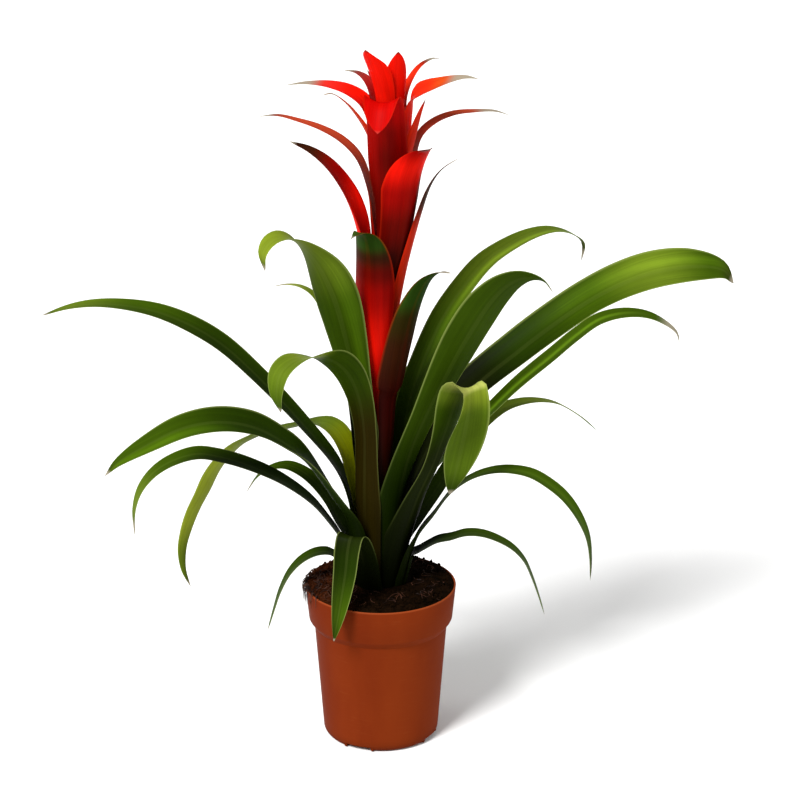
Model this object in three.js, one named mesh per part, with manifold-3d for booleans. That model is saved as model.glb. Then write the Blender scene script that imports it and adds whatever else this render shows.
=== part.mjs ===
// A red guzmania bromeliad growing in a plastic nursery pot.
//
// Millimetres, +Z up. The origin is the centre of the pot's flat underside, and the
// plant faces the viewer who stands on the -Y side. Directions round the plant are
// "turn" angles in degrees: 0 points along +X, 90 along +Y.
//
// Every leaf and every bract is one closed blade with a node of its own. All of them
// are made by the same formula: a spine through a few chosen points, and a cross
// section that is an arc of a circle, tightly wrapped round the stem at the foot and
// a shallow channel further out.
import * as THREE from "three";
import { mergeVertices } from "three/addons/utils/BufferGeometryUtils.js";
import Module from "manifold-3d";

const wasm = await Module();
wasm.setup();

const GAP = 0.3; // clearance between pieces that touch
const DEG = Math.PI / 180;

// ---- driving dimensions -------------------------------------------------------

const POT = {
  height: 128,
  rimRadius: 60,
  bandFootRadius: 57.2, // the rim band is a little conical
  bandHeight: 28,
  stepHeight: 6, // the sloping shoulder under the band
  bodyTopRadius: 52.8,
  bodyFootRadius: 46,
  footRadius: 40, // the flat underside
  footCurve: 7, // height of the rounded bottom edge
  wall: 1.4,
  floor: 2,
  sides: 48,
};
const DRAIN = {
  count: 4,
  firstTurn: -114,
  width: 21,
  height: 4,
  innerRadius: 27,
  slotWidth: 12,
  slotLength: 7,
  slotRadius: 35,
};
const SOIL = {
  below: 0.2, // how far the edge of the soil lies under the pot's rim
  dome: 2.6, // how much higher it is round the leaves
  heap: 2.6, // and how far it is heaped up just inside the rim
  lump: 1.1,
  rings: 8,
  sides: 36,
  socketDepth: 34, // the plain hole that the stem stands in
};
const STEM = {
  rootRadius: 7,
  crownRadius: 8.6, // the short thick part that the leaves are wrapped round
  collarHeight: 130.5, // where it leaves the soil
  crownHeight: 165,
  scapeRadius: 4.6,
  scapeTopRadius: 2.6,
  top: 512,
  scapeRings: 10,
  sides: 14,
};
const LEAN = { reach: 9, from: 345, height: 108 }; // the flower stalk leans along +X

// ---- blades -------------------------------------------------------------------

const LEAF = {
  thickness: 0.8,
  stations: 15,
  columns: 4,
  wrap: 42, // half angle of the sheath round the stem
  channelRadius: 30, // of the blade's cross section away from the stem
  upright: 4, // degrees by which the youngest leaf's foot leans out
  spread: 1.3, // and how much more each layer leans
  hug: 24, // how far a foot runs at that lean
  tipHalfWidth: 0.5,
  facetSag: 0.25, // room for the flats of the neighbour's section
  lean: { reach: 9, from: 200, height: 240 },
};
const BRACT = {
  thickness: 0.7,
  stations: 10,
  columns: 5,
  wrap: 62,
  channelRadius: 20,
  upright: 5,
  spread: 0,
  hug: 95,
  tipHalfWidth: 0.5,
  lean: LEAN,
};

// Green leaves, from the youngest, innermost one to the oldest, lowest one. spine is
// a list of [distance from the plant's axis, height] that the middle of the blade
// passes through beyond its foot, with the tip last. roll turns the blade about its
// spine, tipRoll is where that ends, and blunt says how far out it keeps its width.
// waist narrows the blade between sheath and broad part, taper thins its tip, and wrap
// is a sheath's half angle where it isn't the usual one.
const LEAVES = [
  {
    turn: 213, width: 50, blunt: 6, waist: 0.5, roll: 42, tipRoll: 0,
    spine: [
      [12.5, 200], [14, 225], [16.5, 252], [24.5, 292], [38, 341], [52, 380], [69, 411],
      [85, 428], [98, 434], [109, 432], [115, 424], [113, 410],
    ],
  },
  {
    turn: 94, width: 24,
    spine: [
      [14, 210], [18, 250], [28, 290], [54, 332], [92, 342], [124, 314],
    ],
  },
  {
    turn: 40, width: 25, blunt: 5, roll: 8,
    spine: [
      [16, 205], [21, 240], [28, 278], [42, 312], [58, 340], [78, 361], [98, 376], [124, 385],
      [148, 389], [170, 388], [191, 380], [204, 369], [203, 354],
    ],
  },
  {
    turn: 150, width: 20,
    spine: [
      [17, 205], [22, 240], [29, 281], [40, 315], [50, 337], [59, 350], [69, 360], [81, 364],
      [94, 363], [109, 358],
    ],
  },
  {
    turn: -34, width: 50, blunt: 5, waist: 0.5, wrap: 68, roll: -38,
    spine: [
      [17, 200], [26, 242], [43, 286], [64, 332], [78, 359], [92, 382], [107, 399], [123, 408],
      [138, 408], [147, 400],
    ],
  },
  {
    turn: 228, width: 36, blunt: 7, waist: 0.55, roll: 30, tipRoll: 0,
    spine: [
      [18.5, 200], [19, 233], [20.8, 262], [28.5, 292], [43, 317], [63, 334], [86, 342],
      [107, 344], [120, 338], [123, 322], [117, 306],
    ],
  },
  { turn: 106, width: 25, spine: [[19, 200], [26, 235], [44, 280], [76, 316], [118, 300]] },
  {
    turn: 18, width: 40, blunt: 12, roll: 24, tipRoll: 44,
    spine: [
      [25, 200], [37, 233], [69, 279], [111, 312], [139, 331], [166, 347], [194, 359],
      [222, 366], [254, 367], [280, 361], [290, 349],
    ],
  },
  {
    turn: 147, width: 28, blunt: 4, roll: 8, tipRoll: 14,
    spine: [
      [21.2, 195], [27, 217], [34, 236], [44, 248], [55, 252], [67, 250], [87, 242], [106, 235],
      [122, 226], [137, 216], [151, 202], [163, 186], [173, 167], [183, 149], [191, 130],
      [196, 111], [195, 93], [188, 79],
    ],
  },
  {
    turn: 178, width: 24, blunt: 9, roll: -18, tipRoll: -4,
    spine: [
      [25, 199], [35, 227], [64, 264], [104, 306], [130, 329], [155, 344], [180, 354],
      [206, 359], [230, 360], [250, 357], [270, 350],
    ],
  },
  {
    turn: 1, width: 26, blunt: 4, waist: 0.75, roll: 16,
    spine: [
      [28, 200], [39, 223], [74, 263], [104, 296], [130, 320], [147, 336], [164, 349],
      [182, 354], [200, 353], [214, 347], [225, 338], [228, 328],
    ],
  },
  {
    turn: -42, width: 50, blunt: 6, waist: 0.35, roll: -15, tipRoll: 30,
    spine: [
      [27, 180], [38, 210], [53, 242], [65, 275], [73, 300], [79, 312], [85, 314], [87, 302],
      [84, 277], [78, 247], [72, 223],
    ],
  },
  { turn: 75, width: 24, spine: [[28, 196], [38, 220], [75, 268], [125, 270], [165, 225]] },
  {
    turn: 204, width: 36, blunt: 5, roll: -22,
    spine: [
      [28, 186], [40, 206], [67, 246], [84, 261], [108, 277], [137, 286], [166, 286],
      [193, 278], [220, 266], [230, 257],
    ],
  },
  {
    turn: 37, width: 20, roll: 4,
    spine: [
      [23.6, 161.5], [36, 175], [54, 193], [90, 232], [104, 242], [121, 249], [141, 250],
      [160, 247], [179, 240], [204, 223], [225, 204],
    ],
  },
  {
    turn: -13, width: 30, waist: 0.55, roll: 6,
    spine: [
      [30.9, 172], [43, 190], [57, 211], [73, 225], [89, 232], [104, 234], [120, 232],
      [134, 225], [147, 215], [158, 201], [166, 184], [169, 164], [169, 146],
    ],
  },
  {
    turn: 162, width: 19, roll: -15,
    spine: [
      [29, 168], [36, 180], [44, 195], [54, 207], [65, 215], [78, 219], [91, 216], [103, 207],
      [114, 190],
    ],
  },
  {
    turn: 190, width: 24, blunt: 4, roll: -12,
    spine: [
      [33, 170], [42, 184], [56, 202], [79, 221], [104, 235], [127, 244], [146, 248],
      [166, 243], [180, 234], [190, 221], [195, 204], [195, 182],
    ],
  },
  { turn: 98, width: 22, spine: [[30, 165], [44, 186], [75, 205], [110, 190], [140, 145]] },
  {
    turn: 243, width: 24, blunt: 4,
    spine: [
      [33, 166], [42, 181], [50, 186], [55, 178], [60, 158], [70, 132], [80, 109],
    ],
  },
  {
    turn: -5, width: 19,
    spine: [
      [30.5, 157], [37.3, 161.5], [46, 166.5], [56, 169], [68, 173], [80, 173], [93, 169],
      [105, 162], [114, 152], [120, 139], [126, 122], [131, 105],
    ],
  },
  {
    turn: 188, width: 19,
    spine: [
      [36, 154], [42, 157], [51, 157], [62, 152], [72, 142], [80, 127], [86, 109], [91, 92],
    ],
  },
];

// Bracts, from the lowest on the flower stalk to the topmost. foot is the height of
// their root above the origin.
const BRACTS = [
  { turn: 96, foot: 182, width: 28, spine: [[22, 315], [34, 345], [56, 360]] },
  {
    turn: -40, foot: 196, width: 40, blunt: 4, roll: -8,
    spine: [
      [16.5, 296], [20, 313], [26, 340], [34, 373], [42, 391], [53, 400], [65, 402],
    ],
  },
  {
    turn: 240, foot: 222, width: 46, blunt: 8, taper: 1.6,
    spine: [
      [17.5, 345], [23, 385], [31, 415], [38, 428], [46, 433.5], [55, 434], [61, 431.5],
    ],
  },
  { turn: 72, foot: 234, width: 26, spine: [[18, 345], [28, 375], [50, 392]] },
  { turn: 112, foot: 246, width: 26, spine: [[19, 360], [30, 390], [52, 408]] },
  {
    turn: -12, foot: 258, width: 30, roll: -6,
    spine: [
      [15, 370], [18, 405], [23, 437], [30, 460], [39, 474], [54, 485],
    ],
  },
  {
    turn: 185, foot: 270, width: 40, blunt: 3, roll: -24,
    spine: [
      [17, 378], [21, 410], [28, 437], [37, 459], [49, 477], [63, 489], [78, 496],
    ],
  },
  { turn: 80, foot: 283, width: 22, spine: [[17, 398], [28, 430], [50, 448]] },
  {
    turn: -56, foot: 294, width: 48, blunt: 8,
    spine: [
      [15, 398], [17.3, 428], [20.5, 452], [25.5, 470], [33.5, 485], [43, 496], [53, 501],
    ],
  },
  { turn: 108, foot: 307, width: 26, spine: [[18, 425], [29, 455], [50, 466]] },
  {
    turn: 172, foot: 321, width: 24, blunt: 1.8, roll: -12,
    spine: [
      [15, 432], [18.5, 458], [26, 480], [38, 493], [54, 502], [73, 508], [88, 511], [104, 509],
    ],
  },
  {
    turn: 12, foot: 335, width: 17, roll: 12,
    spine: [
      [14, 442], [17, 473], [22, 497], [33, 507.5], [48, 513], [64, 514], [81, 513], [94, 508],
    ],
  },
  {
    turn: 258, foot: 347, width: 36, blunt: 9,
    spine: [
      [17.5, 467], [22.5, 497], [26.5, 518], [30, 530], [35, 534], [41, 530], [46, 522],
      [50, 514],
    ],
  },
  {
    turn: 200, foot: 361.5, width: 27, roll: 4,
    spine: [
      [13.6, 475], [17.8, 498], [27.5, 516], [38, 529], [48, 536], [57, 535],
    ],
  },
  {
    turn: -44, foot: 371, width: 22,
    spine: [
      [13.9, 474], [16.5, 486], [22.5, 504], [29, 521], [36, 535],
    ],
  },
  {
    turn: -32, foot: 382, width: 50, taper: 1.3, roll: 30, tipRoll: 25,
    spine: [
      [18, 519.5], [20, 531], [28, 537.5], [38, 543], [54, 550.5], [66, 554], [78.5, 554],
    ],
  },
  {
    turn: 165, foot: 394, width: 42, taper: 1.5, roll: -12,
    spine: [
      [16, 501], [22, 521], [33, 530], [48, 534.5], [67, 535], [88, 531],
    ],
  },
  { turn: 117, foot: 406, width: 19, spine: [[14, 504], [23, 530], [42, 540]] },
  {
    turn: 150, foot: 420, width: 42, taper: 1.3, hug: 80,
    spine: [
      [15, 522], [20, 537], [29, 543.5], [45, 544],
    ],
  },
  {
    turn: 30, foot: 431, width: 16, hug: 80,
    spine: [
      [12, 529], [17, 541], [25, 550], [36, 554], [45, 552],
    ],
  },
  { turn: 226, foot: 442, width: 46, blunt: 6, hug: 70, spine: [[13, 535], [19, 554], [28, 571]] },
  { turn: -70, foot: 453, width: 32, blunt: 6, hug: 70, spine: [[12, 544], [15, 568]] },
  { turn: 92, foot: 464, width: 26, hug: 55, spine: [[12, 532], [17, 546]] },
  { turn: 270, foot: 476, width: 22, hug: 50, spine: [[8, 540], [9, 556]] },
];

const smooth = (t) => {
  const x = Math.min(1, Math.max(0, t));
  return x * x * (3 - 2 * x);
};

// How far a stalk or a blade has leant over at height z.
const leanAt = (z, lean) => lean.reach * smooth((z - lean.from) / lean.height);

// The middle line of a blade, drawn in the plane of X and Z.
function spineCurve(blade, kind) {
  const { footRadius: r, foot: z, hug = kind.hug } = blade;
  const out = Math.tan((kind.upright + kind.spread * (blade.layer ?? 0)) * DEG);
  const seated = [0, 0.5, 1].map((t) => [r + out * t * hug, z + t * hug]);
  const points = [...seated, ...blade.spine].map(([x, h]) => new THREE.Vector3(x, 0, h));
  return new THREE.CatmullRomCurve3(points, false, "centripetal");
}

// The share of its full width that a blade has at share s of its length, where it is
// narrower between the sheath and its broad part.
const waistAt = (s, waist = 1) => 1 - (1 - waist) * smooth(s / 0.42) * (1 - smooth((s - 0.42) / 0.4));

// Half the blade's width, measured round its curved section, at share s of its length
// and at a given distance from the plant's axis.
function halfWidth(blade, kind, s, reach) {
  const { width, waist, wrap = kind.wrap, blunt = 2.6, taper = 0.9 } = blade;
  const full = Math.min((width / 2) * waistAt(s, waist), wrap * DEG * reach);
  return Math.max(kind.tipHalfWidth, full * Math.pow(1 - Math.pow(s, blunt), taper));
}

// How far the blade is turned about its spine at share s, in radians.
function rollAt(blade, s, hugged) {
  const { roll = 0, tipRoll = roll } = blade;
  const free = smooth((s - hugged) / (0.6 * (1 - hugged)));
  return (roll * free + (tipRoll - roll) * smooth((s - 0.65) / 0.25)) * DEG;
}

// One face of a blade, as rows of points: side is +0.5 for the upper face, -0.5 for
// the lower one.
function bladeFace(blade, kind, side) {
  const curve = spineCurve(blade, kind);
  const turned = new THREE.Matrix4().makeRotationZ(blade.turn * DEG);
  const hugged = (blade.hug ?? kind.hug) / curve.getLength();
  const positions = [];
  for (let i = 0; i <= kind.stations; i++) {
    const s = Math.pow(i / kind.stations, 0.75); // closer together towards the tip
    const point = curve.getPointAt(s);
    const forward = curve.getTangentAt(s);
    const roll = rollAt(blade, s, hugged);
    const across = new THREE.Vector3(0, 1, 0).applyAxisAngle(forward, roll);
    const upper = forward.clone().cross(across);
    const radius = Math.min(Math.abs(point.x), kind.channelRadius);
    const angle = halfWidth(blade, kind, s, point.x) / radius;
    for (let j = 0; j <= kind.columns; j++) {
      const a = angle * ((2 * j) / kind.columns - 1);
      const r = radius - side * kind.thickness;
      const p = point
        .clone()
        .addScaledVector(across, r * Math.sin(a))
        .addScaledVector(upper, radius - r * Math.cos(a))
        .applyMatrix4(turned);
      positions.push(p.x + leanAt(p.z, kind.lean), p.y, p.z);
    }
  }
  return positions;
}

function bladeGeometry(blade, kind) {
  const { stations, columns } = kind;
  const row = columns + 1;
  const under = (stations + 1) * row; // where the lower face's points start
  const index = [];
  const quad = (a, b, c, d) => index.push(a, b, c, a, c, d);
  for (let i = 0; i < stations; i++) {
    for (let j = 0; j < columns; j++) {
      const a = i * row + j;
      quad(a, a + row, a + row + 1, a + 1);
      const u = a + under;
      index.push(u, u + row + 1, u + row, u, u + 1, u + row + 1);
    }
    const left = i * row;
    quad(left, left + under, left + under + row, left + row);
    const right = left + columns;
    quad(right, right + row, right + row + under, right + under);
  }
  for (let j = 0; j < columns; j++) {
    quad(j, j + 1, j + 1 + under, j + under);
    const tip = stations * row + j;
    quad(tip, tip + under, tip + under + 1, tip + 1);
  }
  const positions = [...bladeFace(blade, kind, 0.5), ...bladeFace(blade, kind, -0.5)];
  const geometry = new THREE.BufferGeometry();
  geometry.setAttribute("position", new THREE.Float32BufferAttribute(positions, 3));
  geometry.setIndex(index);
  return geometry;
}

// ---- where the blades sit -----------------------------------------------------

const apart = (a, b) => Math.abs(((a - b + 540) % 360) - 180);

// Leaves nest like the layers of an onion: each one lies just outside the sheaths of
// the younger leaves that it overlaps.
function seatLeaves(leaves) {
  const step = LEAF.thickness + GAP + LEAF.facetSag;
  const layers = [];
  leaves.forEach((leaf, i) => {
    const reach = (leaf.wrap ?? LEAF.wrap) + 4;
    const inside = leaves.slice(0, i).map((other, j) =>
      apart(other.turn, leaf.turn) < (other.wrap ?? LEAF.wrap) + reach ? layers[j] + 1 : 0,
    );
    layers.push(Math.max(0, ...inside));
  });
  return leaves.map((leaf, i) => ({
    ...leaf,
    layer: layers[i],
    footRadius: STEM.crownRadius + GAP + LEAF.thickness + layers[i] * step,
    foot: STEM.collarHeight + GAP,
  }));
}

const scapeRadiusAt = (z) => {
  const t = (z - STEM.crownHeight) / (STEM.top - STEM.crownHeight);
  return STEM.scapeRadius + (STEM.scapeTopRadius - STEM.scapeRadius) * Math.min(1, Math.max(0, t));
};

const seatBracts = (bracts) =>
  bracts.map((bract) => ({
    ...bract,
    footRadius: scapeRadiusAt(bract.foot) + GAP + BRACT.thickness / 2 + 0.1,
  }));

// ---- solids -------------------------------------------------------------------

function toSolid(geometry) {
  const bare = new THREE.BufferGeometry();
  bare.setAttribute("position", geometry.getAttribute("position"));
  bare.setIndex(geometry.index);
  const merged = mergeVertices(bare, 1e-3);
  return new wasm.Manifold(
    new wasm.Mesh({
      numProp: 3,
      vertProperties: new Float32Array(merged.attributes.position.array),
      triVerts: new Uint32Array(merged.index.array),
    }),
  );
}

function toGeometry(solid) {
  const mesh = solid.getMesh();
  const geometry = new THREE.BufferGeometry();
  geometry.setAttribute("position", new THREE.BufferAttribute(new Float32Array(mesh.vertProperties), 3));
  geometry.setIndex(new THREE.BufferAttribute(new Uint32Array(mesh.triVerts), 1));
  return geometry;
}

// A lathe about Z from [radius, height] pairs that run from the axis out and back.
function lathe(profile, sides) {
  const points = profile.map(([r, z]) => new THREE.Vector2(r, z));
  return new THREE.LatheGeometry(points, sides).rotateX(90 * DEG);
}

// A block that points out along a turn angle, from one radius to another.
function radialBlock(turn, r0, r1, width, z0, z1) {
  const block = new THREE.BoxGeometry(r1 - r0, width, z1 - z0);
  block.translate((r0 + r1) / 2, 0, (z0 + z1) / 2);
  return block.rotateZ(turn * DEG);
}

const drainTurns = Array.from(
  { length: DRAIN.count },
  (_, i) => DRAIN.firstTurn + (i * 360) / DRAIN.count,
);
const drainRoof = DRAIN.height + POT.floor;

function potProfile(inset, floorHeight) {
  const band = POT.height - POT.bandHeight;
  const body = band - POT.stepHeight;
  const foot = [];
  for (let i = 0; i <= 4; i++) {
    const a = (i / 4) * 90 * DEG;
    foot.push([
      POT.footRadius + (POT.bodyFootRadius - POT.footRadius) * Math.sin(a) - inset,
      floorHeight + (POT.footCurve - floorHeight) * (1 - Math.cos(a)),
    ]);
  }
  return [
    ...foot,
    [POT.bodyTopRadius - inset, body],
    [POT.bandFootRadius - inset, band],
  ];
}

function potSolid() {
  const lip = 0.5;
  const profile = [
    [0, 0],
    ...potProfile(0, 0),
    [POT.rimRadius, POT.height - lip],
    [POT.rimRadius - lip, POT.height],
    [POT.rimRadius - POT.wall, POT.height],
    ...potProfile(POT.wall, POT.floor).reverse(),
    [0, POT.floor],
  ];
  let pot = toSolid(lathe(profile, POT.sides));
  for (const turn of drainTurns) {
    const outer = POT.bodyFootRadius;
    const lobe = radialBlock(
      turn, DRAIN.innerRadius - POT.floor, outer - 2 * POT.wall,
      DRAIN.width + 2 * POT.floor, POT.floor / 2, drainRoof,
    );
    const arch = radialBlock(turn, DRAIN.innerRadius, outer + 5, DRAIN.width, -1, DRAIN.height);
    const slot = radialBlock(
      turn, DRAIN.slotRadius - DRAIN.slotLength / 2, DRAIN.slotRadius + DRAIN.slotLength / 2,
      DRAIN.slotWidth, 1, drainRoof + 1,
    );
    pot = pot.add(toSolid(lobe)).subtract(toSolid(arch)).subtract(toSolid(slot));
  }
  return pot;
}

// Soft lumps in the soil's surface.
const lumps = (x, y) =>
  Math.sin(x * 0.31 + 1.3) * Math.cos(y * 0.27 - 0.4) * 0.6 +
  Math.sin(x * 0.13 - y * 0.21 + 2.1) * 0.5 +
  Math.cos(x * 0.47 + y * 0.39) * 0.3;

function soilSolid() {
  const inset = POT.wall + GAP;
  const edge = POT.height - SOIL.below;
  const rim = POT.rimRadius - inset - 0.3;
  const hole = STEM.crownRadius + GAP;
  const base = STEM.collarHeight - 1;
  const wall = potProfile(inset, POT.floor + GAP);
  const surface = [];
  for (let i = 0; i <= SOIL.rings; i++) {
    const t = Math.pow(i / SOIL.rings, 1.4);
    const heap = SOIL.heap * smooth(t / 0.1) * (1 - smooth((t - 0.35) / 0.35));
    surface.push([rim + (hole - rim) * t, edge + SOIL.dome * smooth(1.4 * t) + heap]);
  }
  const socket = [
    [hole, POT.height - SOIL.socketDepth - GAP],
    [0, POT.height - SOIL.socketDepth - GAP],
  ];
  const geometry = lathe([[0, POT.floor + GAP], ...wall, ...surface, ...socket], SOIL.sides);
  const position = geometry.getAttribute("position");
  for (let i = 0; i < position.count; i++) {
    const [x, y, z] = [position.getX(i), position.getY(i), position.getZ(i)];
    const r = Math.hypot(x, y);
    if (z < edge - 1 || r > rim - 0.5) continue;
    const apartFromStem = smooth((r - 21) / 10);
    position.setZ(i, z + SOIL.lump * lumps(x, y) * apartFromStem);
  }
  let soil = toSolid(geometry);
  for (const turn of drainTurns) {
    const lobe = radialBlock(
      turn, DRAIN.innerRadius - POT.floor - GAP, POT.bodyFootRadius,
      DRAIN.width + 2 * (POT.floor + GAP), 0, drainRoof + GAP,
    );
    soil = soil.subtract(toSolid(lobe));
  }
  return soil;
}

function stemGeometry() {
  const base = POT.height - SOIL.socketDepth;
  const scape = [];
  const joint = STEM.crownHeight + 10;
  for (let i = 0; i <= STEM.scapeRings; i++) {
    const z = joint + ((STEM.top - 4 - joint) * i) / STEM.scapeRings;
    scape.push([scapeRadiusAt(z), z]);
  }
  const geometry = lathe(
    [
      [0, base],
      [STEM.rootRadius, base],
      [STEM.crownRadius, base + 8],
      [STEM.crownRadius, STEM.crownHeight],
      ...scape,
      [0, STEM.top],
    ],
    STEM.sides,
  );
  const position = geometry.getAttribute("position");
  for (let i = 0; i < position.count; i++) {
    position.setX(i, position.getX(i) + leanAt(position.getZ(i), LEAN));
  }
  return geometry;
}

// ---- the plant in its pot -----------------------------------------------------

const finish = (color, roughness) => new THREE.MeshStandardMaterial({ color, roughness, metalness: 0 });
const COLOR = { terracotta: 0xa8461b, earth: 0x2c1810, stalk: 0x3a4a1a, green: 0x3f6b17, red: 0xc40c06 };

const plant = new THREE.Group();

function place(name, geometry, color, roughness) {
  const mesh = new THREE.Mesh(geometry, finish(color, roughness));
  mesh.name = name;
  plant.add(mesh);
}

const numbered = (word, i) => `${word}_${String(i + 1).padStart(2, "0")}`;

place("pot", toGeometry(potSolid()), COLOR.terracotta, 0.55);
place("soil", toGeometry(soilSolid()), COLOR.earth, 0.95);
place("stem", stemGeometry(), COLOR.stalk, 0.6);
seatLeaves(LEAVES).forEach((leaf, i) => {
  place(numbered("leaf", i), bladeGeometry(leaf, LEAF), COLOR.green, 0.38);
});
seatBracts(BRACTS).forEach((bract, i) => {
  place(numbered("bract", i), bladeGeometry(bract, BRACT), COLOR.red, 0.42);
});

export default plant;
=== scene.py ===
# %% [markdown]
# # A red guzmania in its nursery pot
#
# The real object is a living plant. A funnel of strap leaves grows from a short crown,
# and a stalk of red bracts stands in the middle of it. The pot is thin moulded plastic.
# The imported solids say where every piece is. This script gives each of them a finer
# body and a finish, in the same place and at the same size.

# %% Load the frame
import math
import random

import bmesh
import bpy
from mathutils import Matrix, Vector, noise


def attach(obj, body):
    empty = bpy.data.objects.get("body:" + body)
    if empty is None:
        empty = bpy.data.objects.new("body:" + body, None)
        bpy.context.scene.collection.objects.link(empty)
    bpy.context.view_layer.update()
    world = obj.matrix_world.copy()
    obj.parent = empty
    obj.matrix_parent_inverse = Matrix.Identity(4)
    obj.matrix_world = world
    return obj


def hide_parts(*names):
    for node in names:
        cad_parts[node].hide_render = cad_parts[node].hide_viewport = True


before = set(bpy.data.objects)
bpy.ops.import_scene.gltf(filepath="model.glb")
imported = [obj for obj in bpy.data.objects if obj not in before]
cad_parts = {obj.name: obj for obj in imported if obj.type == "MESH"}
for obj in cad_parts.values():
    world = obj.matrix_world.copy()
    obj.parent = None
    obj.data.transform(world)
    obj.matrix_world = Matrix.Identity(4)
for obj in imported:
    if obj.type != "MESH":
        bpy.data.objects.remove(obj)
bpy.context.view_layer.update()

MM = 0.001

# %% [markdown]
# ## The camera
#
# The viewer stands two and a half metres away and looks down on the plant. A long lens
# keeps the leaves from spreading towards the edges of the picture. The camera comes
# first, so that every later piece can be judged through it.

# %% Set up the camera
CAMERA = {"place": (0.0154, -2.6, 1.264), "down": 20.66, "lens": 160.07}


def put(name, data):
    """A new object in the scene."""
    thing = bpy.data.objects.new(name, data)
    bpy.context.scene.collection.objects.link(thing)
    return thing


def place_camera():
    """A camera that looks along +Y and down, with no shift and no blur."""
    camera = put("viewer", bpy.data.cameras.new("viewer"))
    camera.location = CAMERA["place"]
    camera.rotation_euler = (math.radians(90 - CAMERA["down"]), 0, 0)
    camera.data.lens = CAMERA["lens"]
    camera.data.sensor_width = 36
    camera.data.clip_end = 50
    bpy.context.scene.camera = camera
    return camera


viewer = place_camera()
print("camera at", tuple(round(v, 3) for v in viewer.location))

# %% [markdown]
# ## Light
#
# The plant is lit like a picture in a plant shop: a broad soft sun up on the left and in
# front, two weak ones low at the sides that keep both flanks of the pot bright, and an
# even white sky. The first is far stronger than the rest, so that the folds of the
# leaves and the shaded side of the spike stay deep. The floor is laid at the end.

# %% Three suns and the sky
SUNS = {
    "sun": {"from": (-0.65, -0.95, 1.15), "strength": 4.8, "softness": 20},
    "right_fill": {"from": (0.95, -0.12, 0.3), "strength": 1.2, "softness": 40},
    "left_fill": {"from": (-0.95, 0.12, 0.3), "strength": 0.9, "softness": 40},
}
SKY = 0.45


def hang_sun(name, sun):
    """A soft sun that shines along its own -Z."""
    light = bpy.data.lights.new(name, "SUN")
    light.energy, light.angle = sun["strength"], math.radians(sun["softness"])
    put(name, light).rotation_euler = (-Vector(sun["from"])).to_track_quat("-Z", "Y").to_euler()


def spread_sky():
    """One even white sky all round."""
    sky = bpy.data.worlds.new("sky")
    sky.use_nodes = True
    back = sky.node_tree.nodes["Background"]
    back.inputs["Color"].default_value = (1, 1, 1, 1)
    back.inputs["Strength"].default_value = SKY
    bpy.context.scene.world = sky


for name, sun in SUNS.items():
    hang_sun(name, sun)
spread_sky()
bpy.context.scene.view_settings.view_transform = "Standard"
print("suns", [sun["strength"] for sun in SUNS.values()], "sky", SKY)

# %% [markdown]
# ## Arithmetic with shader sockets
#
# A finish is a small calculation: streaks times a colour, less at the margin, more at
# the tip. The class below wraps one output socket, so that the calculation can be
# written as Python sums. Each of them adds the Math node that does the work.

# %% A socket that can be added and multiplied


class Field:
    """A number, colour or vector that varies over a surface."""

    def __init__(self, finish, socket):
        self.finish, self.socket = finish, socket

    def math(self, operation, first, second):
        """One Math node on two values, of which at least one is a field."""
        return self.finish.add("ShaderNodeMath", {"operation": operation}, {0: first, 1: second})

    def __add__(self, other):
        return self.math("ADD", self, other)

    def __sub__(self, other):
        return self.math("SUBTRACT", self, other)

    def __rsub__(self, other):
        return self.math("SUBTRACT", other, self)

    def __mul__(self, other):
        return self.math("MULTIPLY", self, other)

    __radd__, __rmul__ = __add__, __mul__

    def between(self, low, high):
        """0 below low, 1 above high, and a soft step from one to the other."""
        return self.finish.add(
            "ShaderNodeMapRange", {"interpolation_type": "SMOOTHSTEP", "clamp": True},
            {"Value": self, "From Min": low, "From Max": high})


# %% [markdown]
# A finish owns one material. One method adds a node of any type, and the short methods
# after it name the few textures that this plant needs.

# %% A finish and its nodes


def colour(code):
    """A colour written as six hex digits, in the linear numbers that shaders use."""
    parts = [int(code[i:i + 2], 16) / 255 for i in (0, 2, 4)]
    return tuple(p / 12.92 if p <= 0.04045 else ((p + 0.055) / 1.055) ** 2.4 for p in parts) + (1,)


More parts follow.
